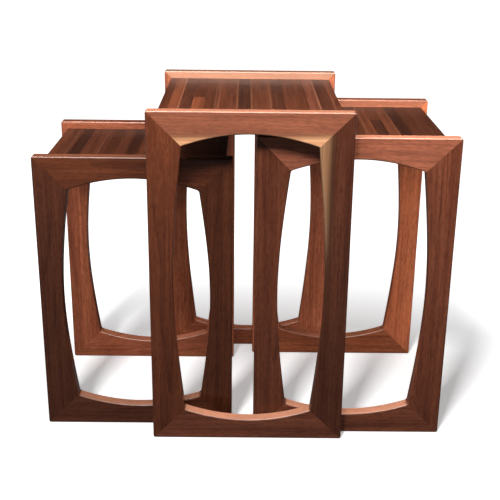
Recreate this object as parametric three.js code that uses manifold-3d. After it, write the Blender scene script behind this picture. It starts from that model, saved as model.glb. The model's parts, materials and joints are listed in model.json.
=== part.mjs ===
// Nesting tables: three walnut tables of one width, the two smaller ones pulled out sideways.
// Each table is two mitred frames with barrel-shaped windows, joined by a top panel of staves.
// Millimetres, +Z up, X along the sliding direction, the floor at Z = 0.
import * as THREE from "three";
import { mergeVertices } from "three/addons/utils/BufferGeometryUtils.js";
import Module from "manifold-3d";

const wasm = await Module();
wasm.setup();

// Overall sizes. The smaller tables take theirs from the larger one around them.
const WIDTH = 318;
const LARGE_HEIGHT = 560;
const LARGE_DEPTH = 384;

// Frame members: the corners are wider than the waists half way along.
const FRAME_THICKNESS = 21;
const CORNER_WIDTH = 54;
const RAIL_WAIST = 35;
const LEG_WAIST = 37;
const RAIL_BEND = 3; // share of the half length over which the inner edge bends
const LEG_BEND = 0.7;
const OUTER_CORNER = 3.5;
const EDGE_ROUNDING = 2.2;
const MITRE_GAP = 0.3;

// Top panel: it sits below the frames' top edges and stops short of their ends.
const PANEL_THICKNESS = 19;
const PANEL_LIP = 13;
const PANEL_INSET = 12;
const PANEL_EDGE_ROUNDING = 1.5;

// Nesting clearances between each table and the next larger one.
const MEDIUM_SIDE_GAP = 9;
const MEDIUM_TOP_GAP = 11;
const SMALL_SIDE_GAP = 2;
const SMALL_TOP_GAP = 9;

// Where the smaller tables stand: how far they are pulled out, and off the middle in Y.
const MEDIUM_PULL = 169;
const SMALL_PULL = 186;
const MEDIUM_SHIFT = -7;
const SMALL_SHIFT_IN_MEDIUM = 0.5;

// Loose joinery: a tenon across each mitre, a spline between each panel end and its rail.
const TENON_WIDTH = 26;
const TENON_LENGTH = 30;
const TENON_THICKNESS = 8;
const SPLINE_LENGTH = 180;
const SPLINE_WIDTH = 16;
const SPLINE_THICKNESS = 6;
const JOINERY_CLEARANCE = 0.3;

const CURVE_STEPS = 12;
const ARC_SEGMENTS = 3;

const FRAME_COLOUR = 0x7a4a33;
const PANEL_COLOUR = 0x68402f;
const TENON_COLOUR = 0xb08a5e;

// windowCorner is how far from a window's corner its rounding starts.
const medium = {
  name: "medium",
  height: LARGE_HEIGHT - PANEL_LIP - PANEL_THICKNESS - MEDIUM_TOP_GAP,
  depth: LARGE_DEPTH - 2 * (FRAME_THICKNESS + MEDIUM_SIDE_GAP),
  x: MEDIUM_PULL,
  y: MEDIUM_SHIFT,
  windowCorner: 3.5,
};
const small = {
  name: "small",
  height: medium.height - PANEL_LIP - PANEL_THICKNESS - SMALL_TOP_GAP,
  depth: medium.depth - 2 * (FRAME_THICKNESS + SMALL_SIDE_GAP),
  x: -SMALL_PULL,
  y: MEDIUM_SHIFT + SMALL_SHIFT_IN_MEDIUM,
  windowCorner: 3.5,
};
const large = {
  name: "large",
  height: LARGE_HEIGHT,
  depth: LARGE_DEPTH,
  x: 0,
  y: 0,
  windowCorner: 1,
};

// A closed three.js geometry as a manifold-3d solid.
function toSolid(geometry) {
  const bare = geometry.index ? geometry.toNonIndexed() : geometry.clone();
  bare.deleteAttribute("normal");
  bare.deleteAttribute("uv");
  const merged = mergeVertices(bare, 1e-4);
  return new wasm.Manifold(
    new wasm.Mesh({
      numProp: 3,
      vertProperties: merged.attributes.position.array,
      triVerts: new Uint32Array(merged.index.array),
    }),
  );
}

// A manifold-3d solid as a named three.js mesh.
function toMesh(solid, name, material) {
  const { vertProperties, triVerts } = solid.getMesh();
  const geometry = new THREE.BufferGeometry();
  geometry.setAttribute("position", new THREE.BufferAttribute(vertProperties, 3));
  geometry.setIndex(new THREE.BufferAttribute(triVerts, 1));
  const flat = geometry.toNonIndexed();
  flat.computeVertexNormals();
  const mesh = new THREE.Mesh(flat, material);
  mesh.name = name;
  return mesh;
}

function wood(colour, roughness) {
  return new THREE.MeshStandardMaterial({ color: colour, roughness, metalness: 0 });
}

// A box centred on a point, turned by an angle about Y.
function box(sizeX, sizeY, sizeZ, centre, turn = 0) {
  const geometry = new THREE.BoxGeometry(sizeX, sizeY, sizeZ);
  geometry.rotateY(turn);
  geometry.translate(centre.x, centre.y, centre.z);
  return toSolid(geometry);
}

// How far an inner edge has swung from its waist (0) towards its corner (1).
function swing(along, bend) {
  return (Math.hypot(along, bend) - bend) / (Math.hypot(1, bend) - bend);
}

// Points along one inner edge of a frame, from corner to corner: distance along, and width there.
function innerEdge(length, waist, bend, cornerRadius) {
  const half = length / 2 - CORNER_WIDTH;
  const straight = half - cornerRadius;
  return Array.from({ length: CURVE_STEPS + 1 }, (_, i) => {
    const offset = straight * ((2 * i) / CURVE_STEPS - 1);
    const width = waist + (CORNER_WIDTH - waist) * swing(offset / half, bend);
    return [length / 2 + offset, width];
  });
}

// The barrel-shaped window of a frame, anticlockwise, with its corners rounded.
function windowPath(height, cornerRadius) {
  const rail = innerEdge(WIDTH, RAIL_WAIST, RAIL_BEND, cornerRadius);
  const leg = innerEdge(height, LEG_WAIST, LEG_BEND, cornerRadius);
  const left = CORNER_WIDTH;
  const right = WIDTH - CORNER_WIDTH;
  const low = CORNER_WIDTH;
  const high = height - CORNER_WIDTH;
  const sides = [
    { corner: [left, low], points: rail },
    { corner: [right, low], points: leg.map(([s, w]) => [WIDTH - w, s]) },
    { corner: [right, high], points: rail.map(([s, w]) => [WIDTH - s, height - w]) },
    { corner: [left, high], points: leg.map(([s, w]) => [w, height - s]) },
  ];
  const path = new THREE.Path();
  path.moveTo(...sides[0].points[0]);
  sides.forEach((side, i) => {
    const next = sides[(i + 1) % sides.length];
    side.points.slice(1).forEach((point) => path.lineTo(...point));
    path.quadraticCurveTo(...next.corner, ...next.points[0]);
  });
  return path;
}

// A whole frame in one piece, lower left corner at the origin, thickness along +Y from Y = 0.
function frameSolid(height, cornerRadius) {
  const r = OUTER_CORNER;
  const outline = new THREE.Shape();
  outline.absarc(r, r, r, Math.PI, 1.5 * Math.PI);
  outline.absarc(WIDTH - r, r, r, 1.5 * Math.PI, 2 * Math.PI);
  outline.absarc(WIDTH - r, height - r, r, 0, 0.5 * Math.PI);
  outline.absarc(r, height - r, r, 0.5 * Math.PI, Math.PI);
  outline.holes.push(windowPath(height, cornerRadius));
  const geometry = new THREE.ExtrudeGeometry(outline, {
    depth: FRAME_THICKNESS - 2 * EDGE_ROUNDING,
    bevelThickness: EDGE_ROUNDING,
    bevelSize: EDGE_ROUNDING,
    bevelOffset: -EDGE_ROUNDING,
    bevelSegments: 2,
    curveSegments: ARC_SEGMENTS,
  });
  geometry.translate(0, 0, EDGE_ROUNDING - FRAME_THICKNESS);
  geometry.rotateX(Math.PI / 2);
  return toSolid(geometry);
}

// The block of space that holds one member: everything on its side of the 45 degree mitres.
function mitreBlock(corners, inward) {
  const reach = WIDTH / 2 - 1;
  const trim = MITRE_GAP / Math.SQRT2;
  const [start, end] = corners;
  const along = end.clone().sub(start).normalize();
  const outer = [start.clone().addScaledVector(along, trim), end.clone().addScaledVector(along, -trim)];
  const inner = [
    outer[1].clone().addScaledVector(along, -reach).addScaledVector(inward, reach),
    outer[0].clone().addScaledVector(along, reach).addScaledVector(inward, reach),
  ];
  const geometry = new THREE.ExtrudeGeometry(new THREE.Shape([...outer, ...inner]), {
    depth: FRAME_THICKNESS + 2,
    bevelEnabled: false,
  });
  geometry.translate(0, 0, -FRAME_THICKNESS - 1);
  geometry.rotateX(Math.PI / 2);
  return toSolid(geometry);
}

// The four members of a frame, each with the outer edge it runs along and the way to the window.
function memberPlan(height) {
  const point = (x, z) => new THREE.Vector2(x, z);
  return {
    bottom_rail: { corners: [point(0, 0), point(WIDTH, 0)], inward: point(0, 1) },
    right_leg: { corners: [point(WIDTH, 0), point(WIDTH, height)], inward: point(-1, 0) },
    top_rail: { corners: [point(WIDTH, height), point(0, height)], inward: point(0, -1) },
    left_leg: { corners: [point(0, height), point(0, 0)], inward: point(1, 0) },
  };
}

// A loose tenon lies across each mitre, half way along it, flat in the middle of the thickness.
function tenonPlan(height) {
  const inset = CORNER_WIDTH / 2;
  const y = FRAME_THICKNESS / 2;
  const place = (x, z, turn) => ({ centre: new THREE.Vector3(x, y, z), turn });
  return {
    bottom_left: place(inset, inset, Math.PI / 4),
    bottom_right: place(WIDTH - inset, inset, -Math.PI / 4),
    top_right: place(WIDTH - inset, height - inset, Math.PI / 4),
    top_left: place(inset, height - inset, -Math.PI / 4),
  };
}

function tenonSolid({ centre, turn }, clearance) {
  const grow = 2 * clearance;
  return box(
    TENON_LENGTH + grow,
    TENON_THICKNESS + grow,
    TENON_WIDTH + grow,
    centre,
    turn,
  );
}

// The spline between a panel end and the inner face of its frame's top rail.
function splineSolid(height, faceY, clearance) {
  const grow = 2 * clearance;
  const z = height - PANEL_LIP - PANEL_THICKNESS / 2;
  const centre = new THREE.Vector3(WIDTH / 2, faceY, z);
  return box(SPLINE_LENGTH + grow, SPLINE_WIDTH + grow, SPLINE_THICKNESS + grow, centre);
}

// The top panel, with its long edges and side edges eased and a groove in each end.
function panelSolid(table) {
  const length = table.depth - 2 * FRAME_THICKNESS;
  const width = WIDTH - 2 * PANEL_INSET;
  const e = PANEL_EDGE_ROUNDING;
  const left = PANEL_INSET;
  const right = left + width;
  const top = table.height - PANEL_LIP;
  const bottom = top - PANEL_THICKNESS;
  const section = new THREE.Shape();
  section.absarc(left + e, bottom + e, e, Math.PI, 1.5 * Math.PI);
  section.absarc(right - e, bottom + e, e, 1.5 * Math.PI, 2 * Math.PI);
  section.absarc(right - e, top - e, e, 0, 0.5 * Math.PI);
  section.absarc(left + e, top - e, e, 0.5 * Math.PI, Math.PI);
  const geometry = new THREE.ExtrudeGeometry(section, {
    depth: length,
    bevelEnabled: false,
    curveSegments: ARC_SEGMENTS,
  });
  geometry.translate(0, 0, -FRAME_THICKNESS - length);
  geometry.rotateX(Math.PI / 2);
  const faces = [FRAME_THICKNESS, FRAME_THICKNESS + length];
  return faces.reduce(
    (panel, y) => panel.subtract(splineSolid(table.height, y, JOINERY_CLEARANCE)),
    toSolid(geometry),
  );
}

// One frame's members, tenons and spline. faceY is the frame's inner face, where the panel meets it.
function buildFrame(table, side, y, faceY) {
  const group = new THREE.Group();
  const whole = frameSolid(table.height, table.windowCorner);
  const tenons = tenonPlan(table.height);
  const pockets = Object.values(tenons).map((tenon) => tenonSolid(tenon, JOINERY_CLEARANCE));
  const groove = splineSolid(table.height, faceY, JOINERY_CLEARANCE);
  for (const [member, { corners, inward }] of Object.entries(memberPlan(table.height))) {
    const solid = [...pockets, groove].reduce(
      (piece, cut) => piece.subtract(cut),
      whole.intersect(mitreBlock(corners, inward)),
    );
    group.add(toMesh(solid, `${table.name}_${side}_${member}`, wood(FRAME_COLOUR, 0.45)));
  }
  for (const [corner, tenon] of Object.entries(tenons)) {
    const name = `${table.name}_${side}_${corner}_tenon`;
    group.add(toMesh(tenonSolid(tenon, 0), name, wood(TENON_COLOUR, 0.7)));
  }
  const splineName = `${table.name}_${side}_panel_spline`;
  group.add(toMesh(splineSolid(table.height, faceY, 0), splineName, wood(TENON_COLOUR, 0.7)));
  group.position.y = y;
  return group;
}

// A whole table, its footprint centred on the group's origin.
function buildTable(table) {
  const body = new THREE.Group();
  const backY = table.depth - FRAME_THICKNESS;
  body.add(buildFrame(table, "front", 0, FRAME_THICKNESS));
  body.add(buildFrame(table, "back", backY, 0));
  body.add(toMesh(panelSolid(table), `${table.name}_top_panel`, wood(PANEL_COLOUR, 0.4)));
  body.position.set(-WIDTH / 2, -table.depth / 2, 0);
  const group = new THREE.Group();
  group.add(body);
  group.position.set(table.x, table.y, 0);
  return group;
}

// The set is centred on the origin as it stands, between the ends of the pulled-out tables.
const set = new THREE.Group();
set.position.x = (SMALL_PULL - MEDIUM_PULL) / 2;
[large, medium, small].forEach((table) => set.add(buildTable(table)));
const root = new THREE.Group();
root.add(set);

export default root;
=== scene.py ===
"""Nesting tables in oiled walnut: the looks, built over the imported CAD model. Metres, +Z up."""

import json
import math
import random

import bpy
import numpy as np
from mathutils import Matrix, Vector

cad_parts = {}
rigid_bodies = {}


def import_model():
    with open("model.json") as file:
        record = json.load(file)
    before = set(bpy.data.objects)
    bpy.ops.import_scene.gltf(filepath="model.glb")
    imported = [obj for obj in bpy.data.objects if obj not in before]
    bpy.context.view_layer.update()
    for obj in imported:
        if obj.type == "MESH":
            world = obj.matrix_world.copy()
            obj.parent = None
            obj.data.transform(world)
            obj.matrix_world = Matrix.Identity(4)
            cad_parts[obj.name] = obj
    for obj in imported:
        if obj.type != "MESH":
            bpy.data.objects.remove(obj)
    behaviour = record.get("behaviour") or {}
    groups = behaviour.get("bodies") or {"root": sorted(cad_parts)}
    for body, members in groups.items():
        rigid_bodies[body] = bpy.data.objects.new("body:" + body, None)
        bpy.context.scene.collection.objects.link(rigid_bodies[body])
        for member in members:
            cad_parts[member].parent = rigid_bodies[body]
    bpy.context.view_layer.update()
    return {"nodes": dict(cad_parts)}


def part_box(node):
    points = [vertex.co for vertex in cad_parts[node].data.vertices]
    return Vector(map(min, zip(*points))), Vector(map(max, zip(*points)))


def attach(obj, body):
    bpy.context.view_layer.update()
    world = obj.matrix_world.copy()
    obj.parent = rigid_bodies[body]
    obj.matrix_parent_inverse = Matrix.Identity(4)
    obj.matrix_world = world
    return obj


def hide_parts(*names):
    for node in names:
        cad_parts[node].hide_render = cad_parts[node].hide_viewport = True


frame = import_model()
rng = random.Random(7)

MM = 0.001

# The frame members' shape, as the CAD source has it.
CORNER_WIDTH = 54 * MM
RAIL_SHAPE = {"waist": 35 * MM, "bend": 3.0}
LEG_SHAPE = {"waist": 37 * MM, "bend": 0.7}
OUTER_CORNER = 3.5 * MM
EDGE_ROUNDING = 2.2 * MM
WINDOW_CORNER = {"large": 1 * MM, "medium": 3.5 * MM, "small": 3.5 * MM}
FILLET_SET_BACK = 0.27  # how far a window's fillet cuts its corner, as a share of its reach

# How finely the curves are cut.
CORNER_STEPS = 5
HALF_LENGTH_STEPS = 32
ROUNDING_STEPS = 5
STAVE_CORNER_STEPS = 3

# The staves of the top panels.
STAVE_WIDTH = 19 * MM
GLUE_LINE_EASE = 0.2 * MM
PANEL_EDGE_ROUNDING = 1.5 * MM


# ---------------------------------------------------------------- meshes

def lofted(name, rings, normals, grain):
    """A closed solid through rings of points, with its own smooth normals and flat ends.
    grain holds each point's place in the board it was cut from: along, across and through it."""
    stations, around, _ = rings.shape
    at = np.arange(stations * around).reshape(stations, around)
    sides = [
        (at[i, j], at[i, (j + 1) % around], at[i + 1, (j + 1) % around], at[i + 1, j])
        for i in range(stations - 1)
        for j in range(around)
    ]
    ends = [tuple(at[0][::-1]), tuple(at[-1])]
    points = rings.reshape(-1, 3)
    a, b, _, d = points[list(sides[0])]
    if np.dot(np.cross(b - a, d - a), normals[0, 0]) < 0:
        sides = [face[::-1] for face in sides]
        ends = [face[::-1] for face in ends]
    faces = [tuple(map(int, face)) for face in sides + ends]
    mesh = bpy.data.meshes.new(name)
    mesh.from_pydata(points.tolist(), [], faces)
    mesh.polygons.foreach_set("use_smooth", [True] * len(mesh.polygons))
    flat = normals.reshape(-1, 3)
    loop_normals = [flat[v] for face in sides for v in face]
    for face, polygon in zip(ends, mesh.polygons[-2:]):
        loop_normals += [tuple(polygon.normal)] * len(face)
    mesh.normals_split_custom_set([tuple(n) for n in loop_normals])
    attribute = mesh.attributes.new("grain", "FLOAT_VECTOR", "POINT")
    attribute.data.foreach_set("vector", grain.reshape(-1).astype(np.float32))
    obj = bpy.data.objects.new(name, mesh)
    bpy.context.scene.collection.objects.link(obj)
    return obj


def quarter(steps):
    """Angles from 0 to 90 degrees."""
    return np.linspace(0, math.pi / 2, steps + 1)


def swing(along, bend):
    """How far an inner edge has swung from its waist (0) towards its corner (1)."""
    return (np.hypot(along, bend) - bend) / (math.hypot(1, bend) - bend)


def bezier(a, b, c, steps):
    t = np.linspace(0, 1, steps + 1)[:, None]
    return (1 - t) ** 2 * a + 2 * t * (1 - t) * b + t ** 2 * c


def outer_edge(length):
    """The near half of a member's outer edge, half of its rounded corner and then straight, and
    the directions into the wood."""
    angles = np.linspace(math.pi / 4, math.pi / 2, CORNER_STEPS + 1)
    towards_centre = np.stack([np.cos(angles), np.sin(angles)], 1)
    corner = OUTER_CORNER * (1 - towards_centre)
    straight = np.linspace(OUTER_CORNER, length / 2, HALF_LENGTH_STEPS + 1)[1:]
    edge = np.concatenate([corner, np.stack([straight, np.zeros_like(straight)], 1)])
    into = np.concatenate([towards_centre, np.tile([0.0, 1.0], (HALF_LENGTH_STEPS, 1))])
    return edge, into


def inner_edge(length, shape, corner_reach):
    """The near half of a member's inner edge, a small fillet from the mitre and then the long
    curve to the waist, and the directions into the wood."""
    s = np.linspace(CORNER_WIDTH + corner_reach, length / 2, HALF_LENGTH_STEPS + 1)
    from_waist = (s - length / 2) / (length / 2 - CORNER_WIDTH)
    width = shape["waist"] + (CORNER_WIDTH - shape["waist"]) * swing(from_waist, shape["bend"])
    curve = np.stack([s, width], 1)

    mitre = np.array([1.0, 1.0]) / math.sqrt(2)
    off_mitre = np.array([1.0, -1.0]) / math.sqrt(2)
    start = np.array([CORNER_WIDTH, CORNER_WIDTH]) + FILLET_SET_BACK * corner_reach * mitre
    heading = curve[1] - curve[0]
    heading /= np.linalg.norm(heading)
    reach, _ = np.linalg.solve(np.stack([off_mitre, heading], 1), curve[0] - start)
    fillet = bezier(start, start + reach * off_mitre, curve[0], CORNER_STEPS)

    edge = np.concatenate([fillet, curve[1:]])
    tangent = np.gradient(edge, axis=0)
    tangent[0] = off_mitre
    tangent[-1] = (1, 0)
    tangent /= np.linalg.norm(tangent, axis=1, keepdims=True)
    return edge, np.stack([tangent[:, 1], -tangent[:, 0]], 1)


def mirrored(length, points, directions):
    """A half edge with its mirror image added, so that it runs the member's whole length."""
    far_points = points[-2::-1] * (-1, 1) + (length, 0)
    far_directions = directions[-2::-1] * (-1, 1)
    return np.concatenate([points, far_points]), np.concatenate([directions, far_directions])


def member_rings(length, shape, corner_reach, thickness):
    """Rings round a mitred member, from mitre to mitre, and their outward normals. Columns are
    s, along the member, v, across it, and y."""
    outer = mirrored(length, *outer_edge(length))
    inner = mirrored(length, *inner_edge(length, shape, corner_reach))
    r, flat = EDGE_ROUNDING, thickness / 2 - EDGE_ROUNDING
    turns = [
        (inner, quarter(ROUNDING_STEPS), -1),
        (inner, quarter(ROUNDING_STEPS)[::-1], 1),
        (outer, quarter(ROUNDING_STEPS), 1),
        (outer, quarter(ROUNDING_STEPS)[::-1], -1),
    ]
    points, normals = [], []
    for (edge, into), angles, side in turns:
        for a in angles:
            place = edge + into * (r - r * math.sin(a))
            y = side * (flat + r * math.cos(a))
            points.append(np.column_stack([place, np.full(len(edge), y)]))
            out = -into * math.sin(a)
            normals.append(np.column_stack([out, np.full(len(edge), side * math.cos(a))]))
    return np.stack(points, 1), np.stack(normals, 1)


def box_rings(low, high, radii, y_range):
    """Two rings of a box's rounded section in x and z, and their normals. radii are those of
    the corners low left, low right, high right and high left."""
    corners = [(low[0], low[1]), (high[0], low[1]), (high[0], high[1]), (low[0], high[1])]
    points, normals = [], []
    for k, ((x, z), r) in enumerate(zip(corners, radii)):
        inward_x = 1 if k in (0, 3) else -1
        inward_z = 1 if k < 2 else -1
        for a in quarter(STAVE_CORNER_STEPS) + math.pi * (1 + k / 2):
            points.append((x + inward_x * r + r * math.cos(a), z + inward_z * r + r * math.sin(a)))
            normals.append((math.cos(a), math.sin(a)))
    points, normals = np.array(points), np.array(normals)
    across = [np.full(len(points), y) for y in y_range]
    rings = [np.column_stack([points[:, 0], y, points[:, 1]]) for y in across]
    turned = np.column_stack([normals[:, 0], np.zeros(len(points)), normals[:, 1]])
    return np.stack(rings), np.stack([turned, turned])


# ---------------------------------------------------------------- materials

class Nodes:
    """Adds nodes to a material. An input is a value or another node's output."""

    def __init__(self, material):
        material.use_nodes = True
        self.tree = material.node_tree
        self.tree.nodes.clear()

    def add(self, kind, inputs, **settings):
        node = self.tree.nodes.new(kind)
        for name, value in settings.items():
            setattr(node, name, value)
        for key, value in inputs.items():
            if isinstance(value, bpy.types.NodeSocket):
                self.tree.links.new(value, node.inputs[key])
            else:
                node.inputs[key].default_value = value
        return node

    def math(self, operation, a, b=0.0, clamp=False):
        inputs = {0: a, 1: b}
        return self.add("ShaderNodeMath", inputs, operation=operation, use_clamp=clamp).outputs[0]

    def vector(self, operation, a, b):
        return self.add("ShaderNodeVectorMath", {0: a, 1: b}, operation=operation).outputs[0]

    def joined(self, x, y, z):
        return self.add("ShaderNodeCombineXYZ", {0: x, 1: y, 2: z}).outputs[0]

    def split(self, vector):
        return self.add("ShaderNodeSeparateXYZ", {0: vector}).outputs

    def noise(self, place, stretch, detail, roughness=0.55, distortion=0.0):
        """Noise with about this many swells to the metre along each axis."""
        inputs = {
            "Vector": self.vector("MULTIPLY", place, stretch),
            "Scale": 1.0,
            "Detail": detail,
            "Roughness": roughness,
            "Distortion": distortion,
        }
        return self.add("ShaderNodeTexNoise", inputs).outputs["Fac"]

    def remap(self, value, low, high, to_low=0.0, to_high=1.0):
        inputs = {
            "Value": value,
            "From Min": low,
            "From Max": high,
            "To Min": to_low,
            "To Max": to_high,
        }
        return self.add("ShaderNodeMapRange", inputs).outputs[0]

    def mix(self, factor, a, b, blend="MIX"):
        inputs = {0: factor, 6: a, 7: b}
        return self.add("ShaderNodeMix", inputs, data_type="RGBA", blend_type=blend).outputs[2]

    def tinted(self, colour, towards, most, by, low, high):
        """The colour mixed towards another: not at all where by is low, up to most where high."""
        return self.mix(self.remap(by, low, high, 0.0, most), colour, towards)

    def own(self, name):
        """A value that each piece sets for itself."""
        settings = {"attribute_name": name, "attribute_type": "OBJECT"}
        return self.add("ShaderNodeAttribute", {}, **settings).outputs["Fac"]

    def coordinate(self, output):
        return self.add("ShaderNodeTexCoord", {}).outputs[output]

    def bumped(self, height, relief, inputs):
        """Ends the tree with a principled surface in relief."""
        raised = {"Strength": relief, "Distance": RELIEF_DEPTH, "Height": height}
        bump = self.add("ShaderNodeBump", raised).outputs[0]
        shader = self.add("ShaderNodeBsdfPrincipled", {**inputs, "Normal": bump})
        self.add("ShaderNodeOutputMaterial", {"Surface": shader.outputs[0]})


def rgb(r, g, b):
    """A colour as seen on screen, 0 to 255, as linear light."""
    def linear(c):
        c /= 255
        return c / 12.92 if c <= 0.04045 else ((c + 0.055) / 1.055) ** 2.4
    return (linear(r), linear(g), linear(b), 1.0)


# Walnut's colours, before a board's own tone and warmth.
BROWN = rgb(122, 65, 46)
LIGHT_BROWN = rgb(156, 90, 64)
DARK_BROWN = rgb(70, 32, 22)
PORE_BROWN = rgb(40, 20, 15)
MOTTLE = rgb(186, 118, 86)
# PALE is mixed in by a board's paleness and by the painted light on its upward faces.
PALE = rgb(210, 164, 134)
PALE_STREAK = rgb(206, 140, 104)
# The colour of the painted highlight on the arrises that look up and forwards.
PAINTED_HIGHLIGHT = rgb(226, 196, 176)
SAP_LIGHT = rgb(204, 152, 112)
SAP_DARK = rgb(176, 120, 82)
SAP_BORDER = rgb(128, 90, 64)
COOLER = (0.95, 1.0, 1.12, 1.0)
WARMER = (1.06, 0.96, 0.78, 1.0)

# The bare hardwood of the joinery.
BARE_DARK = rgb(196, 156, 108)
BARE_LIGHT = rgb(222, 186, 140)

RING_WIDTH = 4.6 * MM
HEART_WANDER = 26 * MM
NEAREST_SAP = 33.5 * MM  # in from the outer edge
RELIEF_DEPTH = 0.2 * MM


def growth_rings(n, here, along, across, through):
    """The late wood of rings round a heart that wanders and runs a little askew of the board."""
    wander = n.math("SUBTRACT", n.noise(here, (5.0, 26.0, 26.0), detail=2.0), 0.5)
    wander = n.math("MULTIPLY", wander, HEART_WANDER)
    from_heart = n.math("ADD", n.math("SUBTRACT", across, n.own("heart_across")), wander)
    skew = n.math("MULTIPLY", along, n.own("heart_skew"))
    above_heart = n.math("ADD", n.math("ADD", through, n.own("heart_depth")), skew)
    squares = n.math("ADD", n.math("POWER", from_heart, 2.0), n.math("POWER", above_heart, 2.0))
    ring = n.math("FRACT", n.math("DIVIDE", n.math("SQRT", squares), RING_WIDTH))
    presence = n.remap(n.noise(here, (3.0, 45.0, 45.0), detail=1.0), 0.38, 0.62)
    return n.math("MULTIPLY", n.math("POWER", ring, 3.5), presence)


def with_sapwood(n, colour, shade, along, across, bands, streaks):
    """The colour with sapwood beyond a slightly tilted line, some way in from the outer edge."""
    line = n.math("ADD", n.own("sap_start"), n.math("MULTIPLY", n.own("sap_tilt"), along))
    line = n.math("MAXIMUM", line, NEAREST_SAP)
    wavy = n.math("MULTIPLY", n.math("SUBTRACT", bands, 0.5), 4 * MM)
    into_sap = n.math("ADD", n.math("SUBTRACT", across, line), wavy)
    border = n.mix(1.0, SAP_BORDER, shade, "MULTIPLY")
    colour = n.tinted(colour, border, most=0.6, by=into_sap, low=-6 * MM, high=1 * MM)
    sap = n.tinted(SAP_LIGHT, SAP_DARK, most=1.0, by=streaks, low=0.4, high=0.7)
    sap = n.mix(1.0, sap, n.vector("ADD", shade, (0.06, 0.06, 0.06)), "MULTIPLY")
    return n.tinted(colour, sap, most=1.0, by=into_sap, low=0.0, high=8 * MM)


def walnut(name, relief, roughness, specular):
    """Oiled walnut. Each board sets its own stretch of the tree, tone, warmth and sapwood."""
    material = bpy.data.materials.new(name)
    n = Nodes(material)
    board = n.add("ShaderNodeAttribute", {}, attribute_name="grain").outputs["Vector"]
    along, across, through = n.split(board)
    seed = n.own("seed")
    here = n.vector("ADD", board, n.joined(seed, n.math("MULTIPLY", seed, 0.37), seed))

    # The figure: slow colour bands, growth rings, fibres, flecks and pores along the board.
    bands = n.noise(here, (2.2, 60.0, 60.0), detail=3.0, distortion=0.5)
    streaks = n.noise(here, (5.0, 260.0, 260.0), detail=2.0)
    fibres = n.noise(here, (16.0, 900.0, 900.0), detail=3.0, roughness=0.6)
    pores = n.remap(n.noise(here, (70.0, 2200.0, 2200.0), detail=2.0), 0.58, 0.70)
    mottle = n.noise(here, (25.0, 60.0, 60.0), detail=2.0)
    flecks = n.noise(here, (95.0, 520.0, 520.0), detail=1.0)
    rings = growth_rings(n, here, along, across, through)
    colour = n.tinted(BROWN, LIGHT_BROWN, most=1.0, by=bands, low=0.32, high=0.68)
    colour = n.mix(n.math("MULTIPLY", rings, 0.55), colour, DARK_BROWN)
    colour = n.tinted(colour, DARK_BROWN, most=0.42, by=streaks, low=0.45, high=0.72)
    colour = n.tinted(colour, DARK_BROWN, most=0.30, by=fibres, low=0.42, high=0.66)
    colour = n.mix(n.math("MULTIPLY", pores, 0.45), colour, PORE_BROWN)
    colour = n.tinted(colour, DARK_BROWN, most=0.5, by=flecks, low=0.45, high=0.75)
    colour = n.tinted(colour, MOTTLE, most=0.08, by=mottle, low=0.35, high=0.7)

    # The board's warmth and paleness, with painted light and shade on its upward faces: paler, and
    # darker where the board sets it below 0.
    cool = n.mix(1.0, colour, COOLER, "MULTIPLY")
    warm = n.mix(1.0, colour, WARMER, "MULTIPLY")
    colour = n.mix(n.own("warmth"), cool, warm)
    _, toward_back, toward_top = n.split(n.coordinate("Normal"))
    painted_top_lighting = n.math("MULTIPLY", n.remap(toward_top, 0.7, 0.95), n.own("painted_top_lighting"))
    paleness = n.math("ADD", n.own("paleness"), n.math("MULTIPLY", painted_top_lighting, 0.28), clamp=True)
    colour = n.mix(paleness, colour, PALE)

    # A pale streak, and a painted highlight on the arrises that look up and forwards.
    off_streak = n.math("ABSOLUTE", n.math("SUBTRACT", across, n.own("streak_at")))
    wavy = n.math("MULTIPLY", n.math("SUBTRACT", bands, 0.5), 3 * MM)
    near_streak = n.remap(n.math("ADD", off_streak, wavy), 0.3 * MM, 1.6 * MM, 0.3, 0.0)
    colour = n.mix(near_streak, colour, PALE_STREAK)
    painted_highlight_mask = n.remap(n.math("MULTIPLY", toward_back, toward_top), -0.46, -0.3, 1.0, 0.0)
    colour = n.mix(n.math("MULTIPLY", painted_highlight_mask, 0.15), colour, PAINTED_HIGHLIGHT)

    # The painted light and shade on upward faces also scale the board's tone there.
    tone = n.math("MULTIPLY", n.own("tone"), n.math("ADD", painted_top_lighting, 1.0))
    shade = n.joined(tone, tone, tone)
    colour = n.mix(1.0, colour, shade, "MULTIPLY")
    colour = with_sapwood(n, colour, shade, along, across, bands, streaks)

    height = n.math("SUBTRACT", n.math("MULTIPLY", fibres, 0.35), n.math("MULTIPLY", pores, 0.65))
    finish = {"Base Color": colour, "Roughness": roughness, "Specular IOR Level": specular}
    n.bumped(height, relief, finish)
    return material


def joinery():
    """Bare pale hardwood of the hidden tenons and splines."""
    material = bpy.data.materials.new("bare_joinery_wood")
    n = Nodes(material)
    streaks = n.noise(n.coordinate("Object"), (900.0, 900.0, 120.0), detail=3.0)
    colour = n.tinted(BARE_DARK, BARE_LIGHT, most=1.0, by=streaks, low=0.3, high=0.7)
    rough = n.remap(streaks, 0.3, 0.7, 0.6, 0.75)
    n.bumped(streaks, 0.2, {"Base Color": colour, "Roughness": rough})
    return material


WALNUT = {
    "frame_walnut": walnut("oiled_walnut", relief=0.15, roughness=0.25, specular=0.3),
    "stave_walnut": walnut("rubbed_walnut", relief=0.02, roughness=0.35, specular=0.06),
}
JOINERY = joinery()


# Where the sapwood starts and its tilt, and where a pale streak runs, on a board without them:
# both lie off the board.
NO_SAPWOOD = (1.0, 0.0)
NO_STREAK = -1.0


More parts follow.
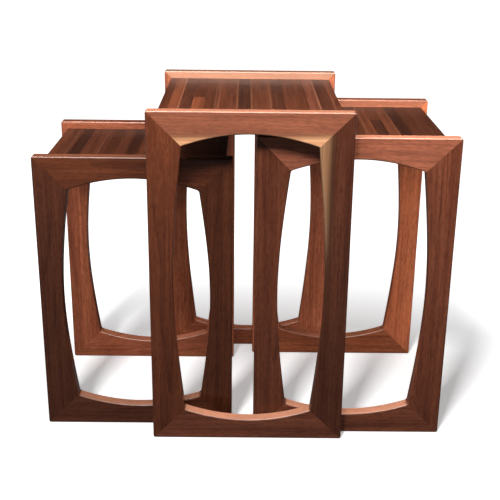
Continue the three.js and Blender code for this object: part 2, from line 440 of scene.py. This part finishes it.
def as_board(obj, body, slot, tone, warmth, paleness=0.0, painted_top_lighting=0.0, sap=NO_SAPWOOD, streak=NO_STREAK):
    """Gives a piece its own stretch of walnut and sets it riding on its table. Its painted top
    lighting is the painted light and shade on its upward faces: how much paler they are drawn, and
    darker below 0; sap is how far in the sapwood starts and its tilt, and streak how far across the
    board a pale streak runs."""
    obj["seed"] = rng.uniform(1, 60)
    obj["heart_across"] = rng.uniform(-0.02, 0.06)
    obj["heart_depth"] = rng.choice((-1, 1)) * rng.uniform(0.015, 0.05)
    obj["heart_skew"] = rng.uniform(-0.05, 0.05)
    obj["tone"] = tone
    obj["warmth"] = warmth
    obj["paleness"] = paleness
    obj["painted_top_lighting"] = painted_top_lighting
    obj["sap_start"], obj["sap_tilt"] = sap
    obj["streak_at"] = streak
    obj.data.materials.append(WALNUT[slot])
    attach(obj, body)


# ---------------------------------------------------------------- frames

# How each member lies in its frame: where its s and v axes point, in x and z.
MEMBERS = {
    "bottom_rail": {"s": (1, 0), "v": (0, 1), "shape": RAIL_SHAPE},
    "right_leg": {"s": (0, 1), "v": (-1, 0), "shape": LEG_SHAPE},
    "top_rail": {"s": (-1, 0), "v": (0, -1), "shape": RAIL_SHAPE},
    "left_leg": {"s": (0, -1), "v": (1, 0), "shape": LEG_SHAPE},
}

# Tone, warmth and, on some, paleness of each board, in the order of MEMBERS. The tones are partly the
# boards' own and partly painted light: the front rails are set lighter than their legs for the sheen
# of light across their grain.
BOARDS = {
    "large_front": ((0.45, 0.4), (0.25, 0.5), (0.65, 0.5, 0.05), (0.33, 1.0)),
    "large_back": ((0.9, 0.7), (1.1, 0.7), (0.72, 0.7, 0.3), (0.7, 0.8)),
    "medium_front": ((0.53, 0.5), (0.48, 0.6), (0.88, 0.4, 0.03), (0.34, 0.7)),
    "medium_back": ((0.58, 1.0), (1.15, 1.0), (0.8, 0.6, 0.05), (1.2, 0.6)),
    "small_front": ((0.29, 0.5), (0.22, 1.0), (0.27, 1.0), (0.21, 0.6)),
    "small_back": ((0.75, 0.7), (1.0, 0.7), (0.6, 0.7), (0.67, 0.8)),
}

# Two boards of the large front frame keep some sapwood: where it starts, and its tilt.
SAPWOOD = {
    "large_front_top_rail": (33.5 * MM, 0.018),
    "large_front_right_leg": (58 * MM, -0.07),
}

# Painted light and shade on the long faces that look up: how much paler (above 0) or darker they are
# drawn.
PAINTED_LIGHT_ON_TOPS = {
    ("front", "bottom_rail"): 0.8,
    ("back", "bottom_rail"): 0.2,
    ("front", "top_rail"): 0.25,
    ("back", "top_rail"): -0.25,
}


def build_frame(table, side):
    boxes = {member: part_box(f"{table}_{side}_{member}") for member in MEMBERS}
    left, right = boxes["left_leg"][0].x, boxes["right_leg"][1].x
    low, high = boxes["bottom_rail"][0].z, boxes["top_rail"][1].z
    front, back = boxes["left_leg"][0].y, boxes["left_leg"][1].y
    starts = {
        "bottom_rail": (left, low),
        "right_leg": (right, low),
        "top_rail": (right, high),
        "left_leg": (left, high),
    }
    for (member, plan), look in zip(MEMBERS.items(), BOARDS[f"{table}_{side}"]):
        length = right - left if member.endswith("rail") else high - low
        rings, normals = member_rings(length, plan["shape"], WINDOW_CORNER[table], back - front)
        turn = np.array([
            [plan["s"][0], 0, plan["s"][1]],
            [plan["v"][0], 0, plan["v"][1]],
            [0, 1, 0],
        ], float)
        origin = np.array([starts[member][0], (front + back) / 2, starts[member][1]])
        node = f"{table}_{side}_{member}"
        obj = lofted(f"{node}_board", rings @ turn + origin, normals @ turn, rings)
        # Painted light and shade on this member's upward faces.
        painted_top_lighting = PAINTED_LIGHT_ON_TOPS.get((side, member), 0.0)
        sap = SAPWOOD.get(node, NO_SAPWOOD)
        as_board(obj, f"{table}_table", "frame_walnut", *look, painted_top_lighting=painted_top_lighting, sap=sap)
        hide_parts(node)


# ---------------------------------------------------------------- top panels

# Tone and warmth of the kinds of stave, and how dark each table's staves are taken together. The
# stave tones are partly their own and partly painted shade: set darker than the rails for the sheen
# they lack, with their grain running front to back.
TONES = {
    "black": (0.11, 0.20),
    "dark": (0.16, 0.30),
    "deep": (0.18, 0.70),
    "mid": (0.24, 0.50),
    "warm": (0.34, 0.95),
    "light": (0.33, 0.70),
    "pink": (0.33, 0.10),
}
PANEL_TONE = {"large": 0.97, "medium": 0.66, "small": 0.66}
STAVE_WARMTH = 0.25  # staves are this much warmer than their kind
STAVE_SPREAD = 0.06  # and this share lighter or darker, by chance

# Staves from left to right: a tone, how far across the stave a pale streak runs, if it has one,
# and for a stave of two lengths where they meet and the tone of the back one.
STAVES = {
    "large": [
        ("deep",), ("light", 0.9), ("dark",), ("warm", None, 0.47, "deep"),
        ("deep", 0.95), ("mid", 0.25), ("mid", 0.85), ("black",),
        ("mid", 0.1), ("mid", 0.75), ("dark",), ("mid",),
        ("deep",), ("pink", 0.9), ("dark",), ("mid", 0.3),
    ],
    "medium": [
        ("mid",), ("dark",), ("light",), ("mid", 0.8),
        ("deep",), ("mid",), ("light",), ("dark",),
        ("mid",), ("light", 0.2), ("dark", None, 0.6, "light"), ("light", 0.85),
        ("black",), ("deep",), ("mid",), ("deep",),
    ],
    "small": [
        ("light",), ("mid", 0.7), ("black",), ("mid",),
        ("mid", 0.5), ("deep",), ("mid",), ("dark",),
        ("light",), ("mid",), ("deep",), ("mid",),
        ("dark",), ("mid",), ("light",), ("deep",),
    ],
}


def build_stave(table, name, x, width, radii, y_range, tone, streak):
    """One length of a stave, from x to x + width and from the front to the back of y_range."""
    low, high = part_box(f"{table}_top_panel")
    rings, normals = box_rings((x, low.z), (x + width, high.z), radii, y_range)
    grain = rings[..., [1, 0, 2]] - (low.y, x, low.z)
    obj = lofted(name, rings, normals, grain)
    tone, warmth = TONES[tone]
    tone *= PANEL_TONE[table] * rng.uniform(1 - STAVE_SPREAD, 1 + STAVE_SPREAD)
    warmth = min(1.0, warmth + STAVE_WARMTH)
    streak_at = NO_STREAK if streak is None else streak * width
    as_board(obj, f"{table}_table", "stave_walnut", tone, warmth, streak=streak_at)
    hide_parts(f"{table}_top_panel")


def build_panel(table):
    """A panel's staves, the outer two trimmed so that the joints stay in the middle."""
    low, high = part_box(f"{table}_top_panel")
    staves = STAVES[table]
    last = len(staves) - 1
    trimmed = (high.x - low.x - STAVE_WIDTH * (len(staves) - 2)) / 2
    x = low.x
    for k, stave in enumerate(staves):
        tone, streak, share, back_tone = (*stave, None, None, None)[:4]
        width = trimmed if k in (0, last) else STAVE_WIDTH
        ease_left = PANEL_EDGE_ROUNDING if k == 0 else GLUE_LINE_EASE
        ease_right = PANEL_EDGE_ROUNDING if k == last else GLUE_LINE_EASE
        radii = (ease_left, ease_right, ease_right, ease_left)
        lengths = [(tone, low.y, high.y)]
        if back_tone:
            joint = low.y + (high.y - low.y) * share
            lengths = [(tone, low.y, joint), (back_tone, joint, high.y)]
        for part, (part_tone, y0, y1) in zip("ab", lengths):
            name = f"{table}_stave_{k + 1:02d}{part}"
            build_stave(table, name, x, width, radii, (y0, y1), part_tone, streak)
        x += width


for table in ("large", "medium", "small"):
    build_frame(table, "front")
    build_frame(table, "back")
    build_panel(table)
for name, node in frame["nodes"].items():
    if name.endswith(("_tenon", "_spline")):
        node.data.materials.clear()
        node.data.materials.append(JOINERY)


# ---------------------------------------------------------------- floor, light and camera

FLOOR_REACH = 3.0
FLOOR_BOUNCE = 0.25  # how white the floor is as it lights the tables
FLOOR_SEEN = 1.15  # and as the camera sees it
FLOOR_GLOW = 0.4  # how strongly the floor glows to the camera among the tables
GLOW_FADE = (0.2, 0.52)  # how far out this starts to grow and is full, with X counted half
WORLD_LIGHT = 0.025
WORLD_SEEN = 1.2

# Soft boxes: place, what it is aimed at, width and height, watts, and what it lights: a
# collection below, or everything. The key alone lights the floor, so that its shadows stay.
SOFTBOXES = {
    "key": ((-0.8, -2.5, 3.4), (0, 0, 0.2), (0.5, 0.5), 120, None),
    "overhead": ((0, -0.3, 1.1), (0, -0.2, 0), (1.4, 0.16), 18, "furniture"),
    "front_strip": ((0, -0.5, 0.95), (0, -0.2, 0), (1.2, 0.12), 10, "furniture"),
    "back_left": ((-1.3, 1.0, 1.0), (0, 0, 0.3), (0.6, 1.0), 20, "furniture"),
    "back_right": ((1.3, 1.0, 1.0), (0, 0, 0.3), (0.6, 1.0), 20, "furniture"),
    "back_fill": ((0, -1.9, 1.0), (0, 0.1, 0.3), (0.8, 0.5), 55, "back_frames"),
    "left_rim": ((-1.5, -0.7, 0.6), (0, 0, 0.3), (0.12, 1.2), 3, "furniture"),
    "right_rim": ((1.5, -0.7, 0.6), (0, 0, 0.3), (0.12, 1.2), 3, "furniture"),
}

# The camera stands in front and a little above, with a short telephoto lens.
CAMERA_PLACE = (0.0001, -1.5723, 0.8467)
CAMERA_TILT_DOWN = math.radians(20.14)
CAMERA_YAW = math.radians(-0.40)
CAMERA_ROLL = math.radians(-0.68)
CAMERA_LENS = 67.24
SENSOR_WIDTH = 36


def light_collections():
    """Groups that a light can be kept to: all that is built so far, and the back frames of it."""
    groups = {name: bpy.data.collections.new(name) for name in ("furniture", "back_frames")}
    for obj in list(bpy.context.scene.objects):
        if obj.type == "MESH":
            groups["furniture"].objects.link(obj)
            if "_back_" in obj.name:
                groups["back_frames"].objects.link(obj)
    return groups


def camera_sees(n):
    """1 for the camera's own rays and what it sees through glass, 0 for light on the object."""
    path = n.add("ShaderNodeLightPath", {})
    return n.math("MAXIMUM", path.outputs["Is Camera Ray"], path.outputs["Is Transmission Ray"])


def seen_or_lit(n, seen_as, lights_as):
    """One value for what the camera sees, another for the light it gives."""
    return n.math("ADD", n.math("MULTIPLY", camera_sees(n), seen_as - lights_as), lights_as)


def build_floor():
    """A white floor that looks whiter to the camera than it lights the tables. It keeps their
    shadow, which fades out away from them."""
    r = FLOOR_REACH
    mesh = bpy.data.meshes.new("floor")
    mesh.from_pydata([(-r, -r, 0), (r, -r, 0), (r, r, 0), (-r, r, 0)], [], [(0, 1, 2, 3)])
    material = bpy.data.materials.new("white_floor")
    n = Nodes(material)
    oval = n.vector("MULTIPLY", n.coordinate("Object"), (0.5, 1.0, 1.0))
    away = n.add("ShaderNodeVectorMath", {0: oval}, operation="LENGTH").outputs["Value"]
    glow = n.math("MULTIPLY", camera_sees(n), n.remap(away, *GLOW_FADE, FLOOR_GLOW, 1.0))
    level = seen_or_lit(n, FLOOR_SEEN, FLOOR_BOUNCE)
    diffuse = n.add("ShaderNodeBsdfDiffuse", {"Color": n.joined(level, level, level)})
    emission = n.add("ShaderNodeEmission", {"Color": (1, 1, 1, 1), "Strength": glow})
    both = n.add("ShaderNodeAddShader", {0: diffuse.outputs[0], 1: emission.outputs[0]})
    n.add("ShaderNodeOutputMaterial", {"Surface": both.outputs[0]})
    mesh.materials.append(material)
    floor = bpy.data.objects.new("floor", mesh)
    bpy.context.scene.collection.objects.link(floor)


def build_world():
    world = bpy.data.worlds.new("studio")
    bpy.context.scene.world = world
    n = Nodes(world)
    inputs = {"Color": (1, 1, 1, 1), "Strength": seen_or_lit(n, WORLD_SEEN, WORLD_LIGHT)}
    background = n.add("ShaderNodeBackground", inputs)
    n.add("ShaderNodeOutputWorld", {"Surface": background.outputs[0]})


def build_softbox(name, place, aim, size, watts, only):
    lamp = bpy.data.lights.new(name, "AREA")
    lamp.shape = "RECTANGLE"
    lamp.size, lamp.size_y = size
    lamp.energy = watts
    obj = bpy.data.objects.new(name, lamp)
    obj.location = place
    obj.rotation_euler = (Vector(aim) - Vector(place)).to_track_quat("-Z", "Y").to_euler()
    obj.light_linking.receiver_collection = only
    bpy.context.scene.collection.objects.link(obj)


def build_camera():
    camera = bpy.data.objects.new("camera", bpy.data.cameras.new("camera"))
    camera.data.sensor_width = SENSOR_WIDTH
    camera.data.lens = CAMERA_LENS
    turn = Matrix.Rotation(CAMERA_YAW, 3, "Z") @ Matrix.Rotation(-CAMERA_TILT_DOWN, 3, "X")
    turn = turn @ Matrix.Rotation(CAMERA_ROLL, 3, "Y") @ Matrix.Rotation(math.pi / 2, 3, "X")
    camera.matrix_world = turn.to_4x4()
    camera.location = CAMERA_PLACE
    bpy.context.scene.collection.objects.link(camera)
    bpy.context.scene.camera = camera


groups = light_collections()
build_floor()
build_world()
for name, (place, aim, size, watts, lights) in SOFTBOXES.items():
    build_softbox(name, place, aim, size, watts, groups.get(lights))
build_camera()
bpy.context.scene.view_settings.view_transform = "Standard"
